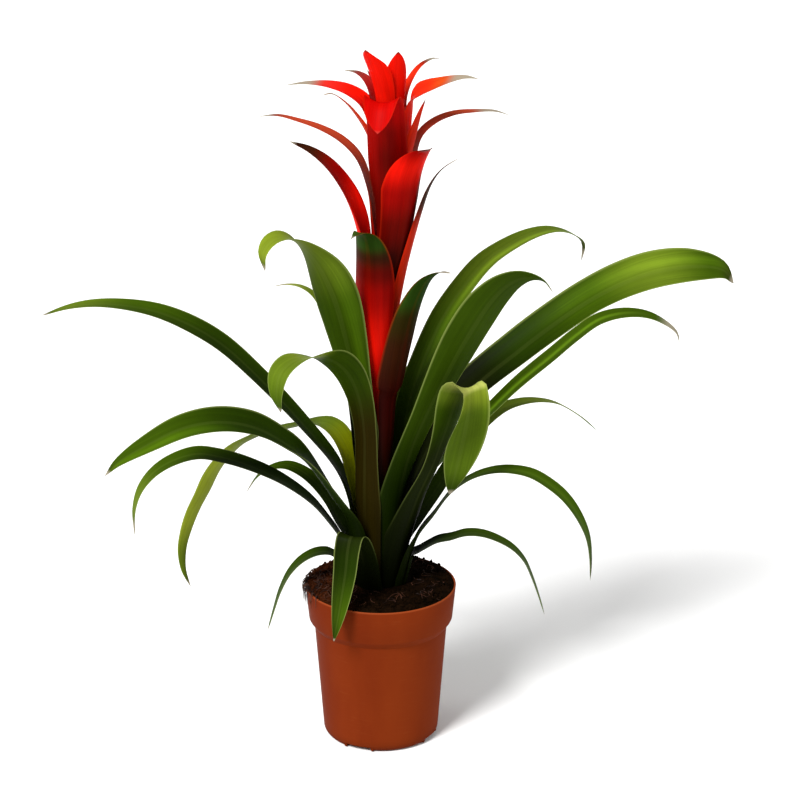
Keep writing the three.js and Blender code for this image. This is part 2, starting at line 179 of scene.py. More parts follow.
class Finish:
    """One material with its principled shader."""

    def __init__(self, name, **constants):
        self.material = bpy.data.materials.new(name)
        self.material.use_nodes = True
        self.tree = self.material.node_tree
        self.shader = self.tree.nodes["Principled BSDF"]
        for socket, value in constants.items():
            self.shader.inputs[socket.replace("_", " ")].default_value = value

    def add(self, kind, settings=None, sockets=None, output=0):
        """A node of any type. A socket takes a field, a value or a colour's six digits."""
        node = self.tree.nodes.new(kind)
        for key, value in (settings or {}).items():
            setattr(node, key, value)
        for key, value in (sockets or {}).items():
            if isinstance(value, Field):
                self.tree.links.new(value.socket, node.inputs[key])
            else:
                node.inputs[key].default_value = colour(value) if isinstance(value, str) else value
        return Field(self, node.outputs[output])

    def place(self):
        """Where a point of the surface lies, in metres."""
        return self.add("ShaderNodeTexCoord", output="Object")

    def layer(self, name, output="Fac"):
        """What the mesh keeps under this name."""
        return self.add("ShaderNodeAttribute", {"attribute_name": name}, output=output)

    def stretched(self, vector, scale):
        """A place with its coordinates multiplied, which squeezes the pattern there."""
        return self.add("ShaderNodeMapping", {}, {"Vector": vector, "Scale": scale})

    def cloud(self, vector, scale, detail=3.0, roughness=0.55):
        """Soft noise from 0 to 1."""
        return self.add("ShaderNodeTexNoise", {}, {
            "Vector": vector, "Scale": scale, "Detail": detail, "Roughness": roughness})

    def mixed(self, share, first, second, blend="MIX"):
        """The first colour with a share of the second."""
        return self.add("ShaderNodeMix", {"data_type": "RGBA", "blend_type": blend},
                        {0: share, 6: first, 7: second}, output=2)

    def grey(self, value):
        """A number as a colour, to multiply another colour with."""
        return self.add("ShaderNodeCombineColor", {}, {0: value, 1: value, 2: value})

    def bumped(self, height, distance, strength=1.0):
        """The surface's normal over a fine relief."""
        return self.add("ShaderNodeBump", {}, {
            "Height": height, "Distance": distance, "Strength": strength})

    def feed(self, **fields):
        """Links fields to the shader and returns the material."""
        for socket, field in fields.items():
            self.tree.links.new(field.socket, self.shader.inputs[socket.replace("_", " ")])
        return self.material


print("half grey is", round(colour("808080")[0], 3), "in a shader")

# %% [markdown]
# ## How every piece is handed over
#
# A bmesh becomes an object at the origin, with smooth faces that meet in a sharp edge
# only at a real corner. It rides on the one body that there is, and stands for the
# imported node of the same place.

# %% Turn a bmesh into a piece


def closed(form):
    """The form with its seams merged, its holes filled and its faces turned outwards."""
    bmesh.ops.remove_doubles(form, verts=form.verts, dist=1e-6)
    if rims := [edge for edge in form.edges if edge.is_boundary]:
        bmesh.ops.holes_fill(form, edges=rims, sides=0)
    bmesh.ops.recalc_face_normals(form, faces=form.faces)
    return form


def hand_over(form, name, material, node=None, corner=40):
    """Makes the piece, and returns its object."""
    mesh = bpy.data.meshes.new(name)
    form.to_mesh(mesh)
    form.free()
    mesh.shade_smooth()
    mesh.set_sharp_from_angle(angle=math.radians(corner))
    mesh.materials.append(material)
    piece = put(name, mesh)
    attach(piece, "root")
    if node:
        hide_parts(node)
    return piece


def smooth(x):
    """A soft step from 0 to 1."""
    x = min(1.0, max(0.0, x))
    return x * x * (3 - 2 * x)


# %% [markdown]
# ## The middle line of a blade
#
# A leaf stands up tightly round the crown, then leans away and arches over under its
# own weight. Its middle line lies in one upright plane, so a few points of distance and
# height describe it, and a centripetal Catmull-Rom curve runs through them without
# loops or overshoot. The line is walked by length, however its points are spaced.

# %% Curves through points


def between_points(a, b, c, d, t):
    """The point at share t on the stretch from b to c."""
    ab, bc, cd = (max((q - p).length, 1e-9) ** 0.5 for p, q in ((a, b), (b, c), (c, d)))
    leaving = ((b - a) / ab - (c - a) / (ab + bc) + (c - b) / bc) * bc
    arriving = ((c - b) / bc - (d - b) / (bc + cd) + (d - c) / cd) * bc
    return (b + leaving * t + (3 * (c - b) - 2 * leaving - arriving) * t * t
            + (2 * (b - c) + leaving + arriving) * t ** 3)


class MiddleLine:
    """A smooth line through points, read by its share of length."""

    def __init__(self, points, fine=30):
        ends = [2 * points[0] - points[1], *points, 2 * points[-1] - points[-2]]
        self.path = [between_points(*ends[i:i + 4], k / fine)
                     for i in range(len(points) - 1) for k in range(fine)] + [points[-1]]
        self.walked = [0.0]
        for p, q in zip(self.path, self.path[1:]):
            self.walked.append(self.walked[-1] + (q - p).length)
        self.length = self.walked[-1]

    def at(self, share):
        """The point and the direction at a share of the length."""
        goal = share * self.length
        k = next((i for i, w in enumerate(self.walked) if w >= goal), len(self.walked) - 1)
        k = max(1, k)
        p, q = self.path[k - 1], self.path[k]
        part = (goal - self.walked[k - 1]) / max(self.walked[k] - self.walked[k - 1], 1e-9)
        before, after = self.path[max(0, k - 2)], self.path[min(k + 1, len(self.path) - 1)]
        return p.lerp(q, part), (after - before).normalized()


line = MiddleLine([Vector((0, 0, 0)), Vector((10, 0, 30)), Vector((40, 0, 50))])
half_way = tuple(round(v) for v in line.at(0.5)[0])
print("a middle line of", round(line.length), "mm, half way at", half_way)

# %% [markdown]
# ## Two kinds of blade
#
# Leaves and bracts are the same organ, so one recipe makes both. A kind holds what all
# its blades share: thickness, how far the foot wraps round the stem, and how the cross
# section opens into a shallow channel further out. All lengths here are millimetres.

# %% What all leaves and all bracts share
CROWN = {"radius": 8.6, "soil": 130.5, "top": 165}
SCAPE = {"radius": 4.6, "top_radius": 2.6, "top": 512}
GAP = 0.3
STALK_LEAN = {"reach": 9, "from": 345, "height": 108}
LEAF = {
    "thickness": 0.8, "stations": 84, "around": 26, "wrap": 42, "channel": 30,
    "upright": 4, "spread": 1.3, "hug": 24, "sag": 0.25, "spare": 4,
    "lean": {"reach": 9, "from": 200, "height": 240},
}
BRACT = {
    "thickness": 0.7, "stations": 64, "around": 26, "wrap": 62, "channel": 20,
    "slope": 5, "hug": 95, "ease": 0.1, "lean": STALK_LEAN,
}
# What a blade has where the tables say nothing else.
USUAL = {"blunt": 2.6, "taper": 0.9, "waist": 1, "roll": 0, "dry": 0.02, "lit": 0,
         "band": (0, 1, 0, 1, 0)}
# Shares of the length: where the waist lies and how far on it has faded; how far the
# blade rolls after its sheath, and where the roll of the tip starts and how far it takes.
WAIST = {"at": 0.42, "over": 0.4}
ROLL = {"over": 0.6, "tip": 0.65, "tip_over": 0.25}


def leaned(x, z, lean):
    """How far a point is carried towards +X by the lean of the stalk."""
    return x + lean["reach"] * smooth((z - lean["from"]) / lean["height"])


def waist_at(share, waist):
    """The share of its width that a blade keeps between its sheath and its broad part."""
    narrowing = smooth(share / WAIST["at"])
    return 1 - (1 - waist) * narrowing * (1 - smooth((share - WAIST["at"]) / WAIST["over"]))


def half_width(blade, share, reach):
    """Half the width at a share of the length, measured round the section."""
    full = min(blade["width"] / 2 * waist_at(share, blade["waist"]),
               math.radians(blade["wrap"]) * reach)
    return full * max(0.0, 1 - share ** blade["blunt"]) ** blade["taper"]


def roll(blade, share, hugged):
    """How far the blade has turned about its own middle line."""
    full = blade["roll"]
    free = smooth((share - hugged) / (ROLL["over"] * (1 - hugged)))
    more = (blade["tip_roll"] - full) * smooth((share - ROLL["tip"]) / ROLL["tip_over"])
    return math.radians(full * free + more)


print("leaf", LEAF["thickness"], "mm thick, bract", BRACT["thickness"], "mm thick")

# %% [markdown]
# ## One blade
#
# A grid is the right start for a strap: it already has rows along the blade and
# columns across it. Here the columns run all the way round, over the upper face and
# back along the lower one, so that the margin is rounded and the blade is closed. The
# grid's long sides are merged at one margin, the last row closes to the point of the
# tip, and the foot is filled.
#
# Each corner also keeps where it lies on the blade. The finish reads that, because veins run along
# a leaf and its margin is paler than its middle, partly by its own colour and partly by a painted
# highlight.

# %% Bend a grid into a blade
# The margin's roundness as a power, the half width in millimetres under which the blade
# thins, and how far out a corner counts as the margin itself.
MARGIN = {"power": 6, "thin": 1.5, "line": 0.999}
# How much of the dry share the change takes, and its least share of the length.
DRY = {"change": 0.4, "least": 0.004}
# Stations stand closer together towards the tip, where this power is under 1.
CROWDED = 0.85


def section_at(blade, line, share):
    """Everything that the ring of points at one station needs."""
    point, forward = line.at(share)
    rolled = Matrix.Rotation(roll(blade, share, blade["hug"] / line.length), 3, forward)
    across = rolled @ Vector((0, 1, 0))
    radius = min(abs(point.x), blade["channel"])
    return {
        "point": point, "across": across, "upper": forward.cross(across), "radius": radius,
        "half": half_width(blade, share, point.x), "along": share * line.length,
    }


def ring_point(blade, section, turned, ring):
    """The point at one place round a section, and how it lies on the blade."""
    upper = ring < 0.5
    turn = 2 * math.pi * ring if upper else 2 * math.pi * (1 - ring)
    out = 0.5 * (math.cos(turn) + 1 - 2 * turn / math.pi)
    rounded = (1 - abs(out) ** MARGIN["power"]) ** 0.5 if abs(out) < 1 else 0.0
    fade = min(1.0, section["half"] / MARGIN["thin"])
    lift = (0.5 if upper else -0.5) * blade["thickness"] * rounded * fade
    angle = section["half"] / section["radius"] * out
    r = section["radius"] - lift
    p = (section["point"] + section["across"] * (r * math.sin(angle))
         + section["upper"] * (section["radius"] - r * math.cos(angle)))
    p = turned @ p
    p.x = leaned(p.x, p.z, blade["lean"])
    return p * MM, out, upper


def seated(blade):
    """The straight start of the middle line, where the blade hugs what is inside it."""
    hug, slope = blade["hug"], math.tan(math.radians(blade["slope"]))
    return [Vector((blade["foot_radius"] + slope * t * hug, 0, blade["foot"] + t * hug))
            for t in (0, 0.5, 1)]


def dryness(blade, share):
    """0 on the living blade, 1 on its dry tip."""
    dry = blade["dry"]
    return smooth((share - 1 + dry) / max(DRY["change"] * dry, DRY["least"]))


def make_blade(blade, tint):
    """A closed blade. tint gives the colour of a place on it."""
    line = MiddleLine(seated(blade) + blade["spine"])
    turned = Matrix.Rotation(math.radians(blade["turn"]), 3, "Z")
    form, stations = bmesh.new(), blade["stations"]
    bmesh.ops.create_grid(form, x_segments=blade["around"], y_segments=stations, size=0.5)
    layers = {name: form.verts.layers.float.new(name)
              for name in ("edge", "along", "upper", "dry")}
    shade = form.verts.layers.float_color.new("tint")
    strap = form.loops.layers.uv.new("strap")
    sections = [section_at(blade, line, (i / stations) ** CROWDED) for i in range(stations + 1)]
    spots = {}
    for corner in form.verts:
        section = sections[round((corner.co.y + 0.5) * stations)]
        place, out, upper = ring_point(blade, section, turned, corner.co.x + 0.5)
        share = section["along"] / line.length
        corner[layers["edge"]], corner[layers["along"]] = abs(out), share
        corner[layers["upper"]] = 0.5 if abs(out) > MARGIN["line"] else float(upper)
        corner[layers["dry"]] = dryness(blade, share)
        # The tint that each corner keeps carries the painted light and shade that the tint
        # function gives.
        corner[shade] = tint(blade, share, out, section["along"])
        spots[corner] = place, (out * section["half"] / 10, section["along"] / 10)
    for face in form.faces:
        for loop in face.loops:
            loop[strap].uv = spots[loop.vert][1]
    for corner, (place, _) in spots.items():
        corner.co = place
    return closed(form)


# %% [markdown]
# ## The colours of the plant
#
# No leaf is one green. The sheath in the funnel is dark, partly by its own colour and partly by
# painted shade where the leaves crowd together, the blade is a full green, its lower face is a
# little darker, and an old tip dries to straw. Bracts go from a dark foot, also partly painted
# shade, through red to a dark or papery tip. Some runs also paint a highlight, such as the pale
# stop at a leaf's fold. Each blade therefore carries a short run of colours, written as shares of
# its length and names, and the tint of any place lies between two of them.

# %% Colour names and how they run along a blade
# The darkest greens that start the runs of the leaves, and the bark and maroon at the foot of a
# bract, are partly painted shade where blades crowd together.
PALETTE = dict(map(str.split, (
    "night 0e1302, sheath 1a2304, deep 1b2b02, leaf 2d4104, bright 506214, lime 65741a, "
    "pale 979c4c, sun 8f9606, moss 7f8c22, fresh 3f520c, olive 252a05, grass 26400a, "
    "umber 341606, brown 2a2204, coral a03a20, bark 180a02, maroon 300502, wine 5e0501, "
    "red 8c0401, scarlet a80301, blaze e41204, flame c42409, orange b5400f, straw 88806e, "
    "ash 3d3a33"
).split(",")))


def run(text):
    """A run of colours along a blade, from text such as "0 deep, 1 leaf"."""
    return [(float(share), name) for share, name in map(str.split, text.split(","))]


LEAF["run"] = run("0 sheath, 0.25 deep, 0.45 leaf, 0.97 leaf, 1 olive")
BRACT["run"] = run("0 bark, 0.35 maroon, 0.55 wine, 0.7 red, 0.93 scarlet, 1 maroon")


def run_colour(steps, share):
    """The colour at a share of the length, from a run."""
    for (s0, first), (s1, second) in zip(steps, steps[1:]):
        if share <= s1:
            t = smooth((share - s0) / max(s1 - s0, 1e-6))
            return Vector(colour(PALETTE[first])).lerp(Vector(colour(PALETTE[second])), t)
    return Vector(colour(PALETTE[steps[-1][1]]))


# How far a painted band takes to fade, and how dark the painted shade in the funnel is at the foot
# of a leaf and how far along the leaf, in millimetres, it fades out.
BAND_END = 0.15
PAINTED_CROWN_SHADE = {"dark": 0.4, "high": 170}


def painted_light(blade, share, out):
    """Painted light and shade: lit makes one margin lighter and the other darker, as if the light
    fell from that side, and band paints a strip along the blade, a highlight where its gain is
    positive and a shadow where it is negative.
    """
    centre, half, start, end, gain = blade["band"]
    strip = (1 - smooth(abs(out - centre) / half)) * smooth((share - start) / BAND_END)
    return 1 + blade["lit"] * out + gain * strip * (1 - smooth((share - end) / BAND_END))


def leaf_tint(blade, share, out, along):
    """Green, much darker near the foot by painted shade, where sheath lies on sheath in the
    funnel, and with the painted light that lit and band give.
    """
    painted_shade = PAINTED_CROWN_SHADE["dark"] + (1 - PAINTED_CROWN_SHADE["dark"]) * smooth(along / PAINTED_CROWN_SHADE["high"])
    return run_colour(blade["run"], share) * painted_shade * painted_light(blade, share, out)


def bract_tint(blade, share, out, along):
    """Red, with the painted light and shade that lit and band give, the same however far up the
    stalk it is, so along isn't used.
    """
    return run_colour(blade["run"], share) * painted_light(blade, share, out)


print(len(PALETTE), "colours")

# %% [markdown]
# ## The finish of a blade
#
# Seen close, a leaf is ribbed by fine parallel veins, has broad lighter and darker patches, a pale
# line along the middle and a pale margin, which is partly the leaf's own paler edge and partly a
# painted highlight along the rim. The surface is waxy but dull, and shines only faintly. The veins
# are noise that is squeezed across the blade and drawn out along it. It reads the blade's own map,
# so it bends as the blade does.

# %% Leaf and bract finishes
# How often a pattern changes: across and along in centimetres of blade, or per metre.
GRAIN = {"veins": (9, 0.12, 1), "streaks": (2.2, 0.09, 1), "patches": 26}


def blade_finish(name, margin, margin_and_highlight_share, streak, shine, vein_strength, **constants):
    """Tinted by the colour each corner keeps, painted light and shade among it, with veins,
    patches, a rib and a margin that is partly a painted highlight.
    """
    finish = Finish(name, **constants)
    along, edge, dry, upper = map(finish.layer, ("along", "edge", "dry", "upper"))
    strap = finish.add("ShaderNodeUVMap", {"uv_map": "strap"})
    fine = finish.cloud(finish.stretched(strap, GRAIN["veins"]), 1.0, 4)
    broad = finish.cloud(finish.stretched(strap, GRAIN["streaks"]), 1.0, 2)
    patches = finish.cloud(finish.place(), GRAIN["patches"], 3)
    shade = (0.3 + fine * streak + broad * 0.55 + patches * 0.4) * (0.8 + upper * 0.2)
    tint = finish.mixed(1.0, finish.layer("tint", "Color"), finish.grey(shade), "MULTIPLY")
    rib = (1 - edge.between(0.03, 0.12)) * along.between(0.12, 0.35)
    # The pale margin is partly the blade's own paler edge and partly a painted highlight along the
    # rim.
    rim = edge.between(0.88, 0.985) * along.between(0.15, 0.55)
    tint = finish.mixed(rib * 0.2 + rim * margin_and_highlight_share, tint, margin)
    tint = finish.mixed(dry * (0.75 + broad * 0.3), tint, PALETTE["straw"])
    rough = shine + fine * 0.12 + dry * 0.35
    relief = fine * 0.6 + broad * 0.5 - rib * 0.8
    return finish.feed(Base_Color=tint, Roughness=rough,
                       Normal=finish.bumped(relief, 0.0002, vein_strength))


leaf_skin = blade_finish("leaf_skin", margin="8a9650", margin_and_highlight_share=0.42, streak=0.55,
                         shine=0.38, vein_strength=0.6, Specular_IOR_Level=0.012)
bract_skin = blade_finish("bract_skin", margin="b52408", margin_and_highlight_share=0.25, streak=0.45,
                          shine=0.42, vein_strength=0.35, Specular_IOR_Level=0.02)
print("finishes:", leaf_skin.name, bract_skin.name)

# %% [markdown]
# ## The leaves
#
# The list goes from the youngest leaf in the heart of the funnel to the oldest one that
# lies lowest. An entry starts with the leaf's direction round the plant, its width, and
# the points that its middle line passes through, as distance from the stem and height.
# Its run of colours may follow. roll and tip_roll turn the blade about its line, waist narrows it
# above its sheath, wrap says how far the sheath reaches round the crown, and blunt how far out the
# blade keeps its width. dry is the dead share at the tip, and lit is painted light: it makes one
# margin lighter and the other darker, as if the light fell from that side. band is a painted
# highlight, or a painted shadow where its gain is negative: a strip with its place and half width
# across the blade, its start and end along it, and how much lighter it is.

# %% The table of leaves
DEEP = "0 night, 0.2 sheath, 0.6 deep, 1 leaf"


def entry(turn, width, spine, colours=None, **more):
    """One blade of a table, with its points and colours read from text."""
    points = [Vector((float(x), 0, float(z))) for x, z in (p.split("/") for p in spine.split())]
    if colours:
        more["run"] = run(colours)
    return {**USUAL, "turn": turn, "width": width, "spine": points,
            "tip_roll": more.get("roll", 0), **more}


LEAVES = [
    entry(213, 50, "12.5/200 14/225 16.5/252 24.5/292 38/341 52/380 69/411 85/428 98/434 109/432 "
          "115/424 113/410", "0 brown, 0.35 olive, 0.5 leaf, 0.66 leaf, 0.8 bright, 0.9 lime, "
          "0.96 lime, 1 olive", blunt=6, waist=0.5, roll=42, tip_roll=0,
          band=(0.55, 0.5, 0.4, 0.7, 0.9)),
    entry(94, 24, "14/210 18/250 28/290 54/332 92/342 124/314", DEEP),
    entry(40, 25, "16/205 21/240 28/278 42/312 58/340 78/361 98/376 124/385 148/389 170/388 "
          "191/380 204/369 203/354", "0 sheath, 0.3 deep, 0.5 leaf, 0.75 bright, 0.9 bright, "
          "1 olive", blunt=5, roll=8, dry=0.03, band=(-0.5, 0.5, 0.4, 0.8, 0.9)),
    entry(150, 20, "17/205 22/240 29/281 40/315 50/337 59/350 69/360 81/364 94/363 109/358",
          "0 night, 0.5 sheath, 0.7 deep, 0.85 bright, 1 pale", dry=0.08),
    entry(-34, 50, "17/200 26/242 43/286 64/332 78/359 92/382 107/399 123/408 138/408 147/400",
          blunt=5, waist=0.5, wrap=68, roll=-38, lit=0.15),
    entry(228, 36, "18.5/200 19/233 20.8/262 28.5/292 43/317 63/334 86/342 107/344 120/338 "
          "123/322 117/306", "0 brown, 0.42 brown, 0.6 leaf, 0.72 leaf, 0.79 lime, 0.86 bright, "
          "1 leaf", blunt=7, waist=0.55, roll=30, tip_roll=0),
    entry(106, 25, "19/200 26/235 44/280 76/316 118/300", DEEP),
    entry(18, 40, "25/200 37/233 69/279 111/312 139/331 166/347 194/359 222/366 254/367 280/361 "
          "290/349", "0 night, 0.42 night, 0.54 deep, 0.68 leaf, 0.82 bright, 0.94 leaf, 1 olive",
          blunt=12, roll=24, tip_roll=44, band=(0.45, 0.5, 0.5, 0.9, 0.55)),
    # Much of this run is lighter than the leaf's own green: painted light on a face that turns
    # away from the sun, and lit makes one margin lighter still.
    entry(147, 28, "21.2/195 27/217 34/236 44/248 55/252 67/250 87/242 106/235 122/226 137/216 "
          "151/202 163/186 173/167 183/149 191/130 196/111 195/93 188/79", "0 olive, 0.1 sun, "
          "0.27 sun, 0.36 bright, 0.5 bright, 0.66 moss, 0.84 moss, 0.95 bright, 1 olive", blunt=4,
          roll=8, tip_roll=14, lit=0.25),
    entry(178, 24, "25/199 35/227 64/264 104/306 130/329 155/344 180/354 206/359 230/360 250/357 "
          "270/350", "0 sheath, 0.3 deep, 0.62 deep, 0.8 leaf, 0.96 bright, 1 olive", blunt=9,
          roll=-18, tip_roll=-4, lit=-0.2),
    entry(1, 26, "28/200 39/223 74/263 104/296 130/320 147/336 164/349 182/354 200/353 214/347 "
          "225/338 228/328", blunt=4, waist=0.75, roll=16, dry=0.09,
          band=(0, 0.4, 0.35, 0.75, 1.8)),
    # The pale stop at the fold is a painted highlight where the blade turns over.
    entry(-42, 50, "27/180 38/210 53/242 65/275 73/300 79/312 85/314 87/302 84/277 78/247 72/223",
          "0 night, 0.42 sheath, 0.58 leaf, 0.64 bright, 0.685 pale, 0.7 lime, 0.76 fresh, "
          "0.9 fresh, 1 deep", blunt=6, waist=0.35, roll=-15, tip_roll=30),
    entry(75, 24, "28/196 38/220 75/268 125/270 165/225"),
    entry(204, 36, "28/186 40/206 67/246 84/261 108/277 137/286 166/286 193/278 220/266 230/257",
          "0 night, 0.3 deep, 0.62 deep, 0.84 leaf, 0.95 leaf, 1 olive", blunt=5, roll=-22,
          band=(0.5, 0.7, 0.6, 0.95, 0.9)),
    entry(37, 20, "23.6/161.5 36/175 54/193 90/232 104/242 121/249 141/250 160/247 179/240 "
          "204/223 225/204", "0 sheath, 0.35 leaf, 0.55 bright, 0.85 lime, 1 leaf", roll=4),
    entry(-13, 30, "30.9/172 43/190 57/211 73/225 89/232 104/234 120/232 134/225 147/215 158/201 "
          "166/184 169/164 169/146", "0 sheath, 0.3 deep, 0.5 leaf, 0.9 leaf, 1 olive", waist=0.55,
          roll=6, band=(0, 0.8, 0.4, 0.8, 0.35)),
    entry(162, 19, "29/168 36/180 44/195 54/207 65/215 78/219 91/216 103/207 114/190", roll=-15,
          dry=0.1),
    entry(190, 24, "33/170 42/184 56/202 79/221 104/235 127/244 146/248 166/243 180/234 190/221 "
          "195/204 195/182", "0 night, 0.3 deep, 0.55 deep, 0.75 leaf, 0.9 bright, 1 olive",
          blunt=4, roll=-12, dry=0.06),
    entry(98, 22, "30/165 44/186 75/205 110/190 140/145"),
    entry(243, 24, "33/166 42/181 50/186 55/178 60/158 70/132 80/109", "0 night, 0.4 sheath, "
          "0.6 deep, 0.85 leaf, 1 deep", blunt=4, lit=0.4),
    entry(-5, 19, "30.5/157 37.3/161.5 46/166.5 56/169 68/173 80/173 93/169 105/162 114/152 "
          "120/139 126/122 131/105"),
    entry(188, 19, "36/154 42/157 51/157 62/152 72/142 80/127 86/109 91/92", dry=0.04),
]
LEAVES = [{**LEAF, **leaf} for leaf in LEAVES]
print(len(LEAVES), "leaves")

# %% [markdown]
# Leaves nest like the layers of an onion, so each one is seated just outside the
# younger leaves that its sheath overlaps. Working the layers out from the turns keeps
# the sheaths clear of each other, which placing twenty-two feet by hand would not.

# %% Seat the leaves round the crown


def seat_leaves(leaves):
    """Gives each leaf its layer, and from that the radius and slope of its foot."""
    step = LEAF["thickness"] + GAP + LEAF["sag"]
    layers = []
    for i, leaf in enumerate(leaves):
        inside = [layers[j] + 1 for j, other in enumerate(leaves[:i])
                  if abs((other["turn"] - leaf["turn"] + 540) % 360 - 180)
                  < other["wrap"] + leaf["wrap"] + LEAF["spare"]]
        layers.append(max(inside, default=0))
    for leaf, layer in zip(leaves, layers):
        leaf["foot_radius"] = CROWN["radius"] + GAP + LEAF["thickness"] + layer * step
        leaf["slope"] = LEAF["upright"] + LEAF["spread"] * layer
        leaf["foot"] = CROWN["soil"] + GAP


seat_leaves(LEAVES)
print("outermost leaf's foot is", round(max(leaf["foot_radius"] for leaf in LEAVES), 1), "mm out")

# %% [markdown]
# One recipe makes all leaves, because they differ only in what their entries say. A
# finish is shared too: the tint that each corner keeps makes every leaf its own.

# %% Make the leaves


def grow(blades, label, tint, skin):
    """Makes every blade of a table and hands it over."""
    for number, blade in enumerate(blades, 1):
        node = f"{label}_{number:02d}"
        hand_over(make_blade(blade, tint), f"{node}_blade", skin, node, corner=60)
    print("grown:", len(blades), "of", label)


grow(LEAVES, "leaf", leaf_tint, leaf_skin)

# %% [markdown]
# ## The bracts
#
# Bracts climb the flower stalk. The lowest still look like leaves, with green tops; the
# upper ones are short, broad and bright red, and some end in a thin dry curl. foot is
# the height at which each one leaves the stalk. The rest is said as it is for a leaf.

# %% The table of bracts
BRACTS = [
    entry(96, 28, "22/315 34/345 56/360", "0 bark, 0.5 umber, 1 olive", foot=182),
    entry(-40, 40, "16.5/296 20/313 26/340 34/373 42/391 53/400 65/402", "0 bark, 0.4 maroon, "
          "0.6 umber, 0.72 brown, 0.8 grass, 0.93 grass, 1 ash", foot=196, blunt=4, roll=-8,
          dry=0.06),
    entry(240, 46, "17.5/345 23/385 31/415 38/428 46/433.5 55/434 61/431.5", "0 bark, 0.2 maroon, "
          "0.34 red, 0.46 blaze, 0.66 red, 0.74 wine, 0.8 umber, 0.85 grass, 0.97 grass, 1 ash",
          foot=222, blunt=8, taper=1.6, lit=-0.3),
    entry(72, 26, "18/345 28/375 50/392", foot=234),
    entry(112, 26, "19/360 30/390 52/408", foot=246),
    entry(-12, 30, "15/370 18/405 23/437 30/460 39/474 54/485", "0 bark, 0.25 wine, 0.38 flame, "
          "0.68 flame, 0.8 umber, 1 ash", foot=258, roll=-6, dry=0.06),
    entry(185, 40, "17/378 21/410 28/437 37/459 49/477 63/489 78/496", "0 maroon, 0.25 scarlet, "
          "0.4 blaze, 0.7 blaze, 0.82 red, 0.93 umber, 1 bark", foot=270, blunt=3, roll=-24,
          band=(0.4, 0.9, 0.25, 0.6, 0.6)),
    entry(80, 22, "17/398 28/430 50/448", foot=283),
    entry(-56, 48, "15/398 17.3/428 20.5/452 25.5/470 33.5/485 43/496 53/501", "0 bark, "
          "0.5 maroon, 0.62 wine, 0.74 red, 0.86 blaze, 0.95 scarlet, 0.98 umber, 1 bark",
          foot=294, blunt=8, dry=0.01),
    entry(108, 26, "18/425 29/455 50/466", foot=307),
    entry(172, 24, "15/432 18.5/458 26/480 38/493 54/502 73/508 88/511 104/509", "0 maroon, "
          "0.4 red, 0.6 coral, 0.88 coral, 1 ash", foot=321, blunt=1.8, roll=-12, dry=0.06),
    entry(12, 17, "14/442 17/473 22/497 33/507.5 48/513 64/514 81/513 94/508", "0 wine, "
          "0.45 scarlet, 0.6 coral, 0.84 coral, 1 ash", foot=335, roll=12, dry=0.14),
    entry(258, 36, "17.5/467 22.5/497 26.5/518 30/530 35/534 41/530 46/522 50/514", "0 maroon, "
          "0.45 wine, 0.74 red, 0.82 scarlet, 1 scarlet", foot=347, blunt=13, dry=0.001,
          band=(0, 0.7, 0.5, 0.64, -0.65)),
    entry(200, 27, "13.6/475 17.8/498 27.5/516 38/529 48/536 57/535", "0 maroon, 0.4 red, "
          "0.7 flame, 1 orange", foot=361.5, roll=4, dry=0.08),
    entry(-44, 22, "13.9/474 16.5/486 22.5/504 29/521 36/535", "0 maroon, 0.4 red, 0.7 flame, "
          "0.94 flame, 1 maroon", foot=371),
    entry(-32, 50, "18/519.5 20/531 28/537.5 38/543 54/550.5 66/554 78.5/554", "0 maroon, "
          "0.4 red, 0.6 blaze, 0.76 flame, 0.84 orange, 1 ash", foot=382, taper=1.3, roll=30,
          tip_roll=25, dry=0.16),
    entry(165, 42, "16/501 22/521 33/530 48/534.5 67/535 88/531", "0 maroon, 0.4 red, 0.7 blaze, "
          "1 ash", foot=394, taper=1.5, roll=-12, dry=0.18),
    entry(117, 19, "14/504 23/530 42/540", foot=406),
    entry(150, 42, "15/522 20/537 29/543.5 45/544", "0 maroon, 0.4 red, 0.75 scarlet, 1 ash",
          foot=420, taper=1.3, hug=80, dry=0.1),
    entry(30, 16, "12/529 17/541 25/550 36/554 45/552", "0 maroon, 0.5 blaze, 0.8 flame, "
          "0.93 umber, 1 ash", foot=431, hug=80, dry=0.12),
    entry(226, 46, "13/535 19/554 28/571", "0 maroon, 0.5 red, 0.7 blaze, 0.97 blaze, 1 umber",
          foot=442, blunt=6, hug=70, dry=0.001),
    entry(-70, 32, "12/544 15/568", "0 maroon, 0.5 red, 0.7 blaze, 0.97 blaze, 1 umber", foot=453,
          blunt=6, hug=70, dry=0.001),
    entry(92, 26, "12/532 17/546", foot=464, hug=55),
    entry(270, 22, "8/540 9/556", foot=476, hug=50),
]
BRACTS = [{**BRACT, **bract} for bract in BRACTS]
print(len(BRACTS), "bracts")

# %% [markdown]
# The foot of a bract lies on the stalk, and the stalk tapers. Its distance from the axis
# therefore follows from its height, and isn't in the table.

# %% Make the bracts


def scape_radius(z):
    """The stalk tapers evenly from the crown to its top."""
    t = min(1.0, max(0.0, (z - CROWN["top"]) / (SCAPE["top"] - CROWN["top"])))
    return SCAPE["radius"] + (SCAPE["top_radius"] - SCAPE["radius"]) * t


for bract in BRACTS:
    bract["foot_radius"] = (scape_radius(bract["foot"]) + GAP + BRACT["thickness"] / 2
                            + BRACT["ease"])
grow(BRACTS, "bract", bract_tint, bract_skin)

# %% [markdown]
# ## The stem
#
# The crown and the flower stalk are one living piece. Almost all of it is wrapped in
# sheaths, so a wire that is spun once round the axis is enough. It is leant over by the
# same rule as the bracts.

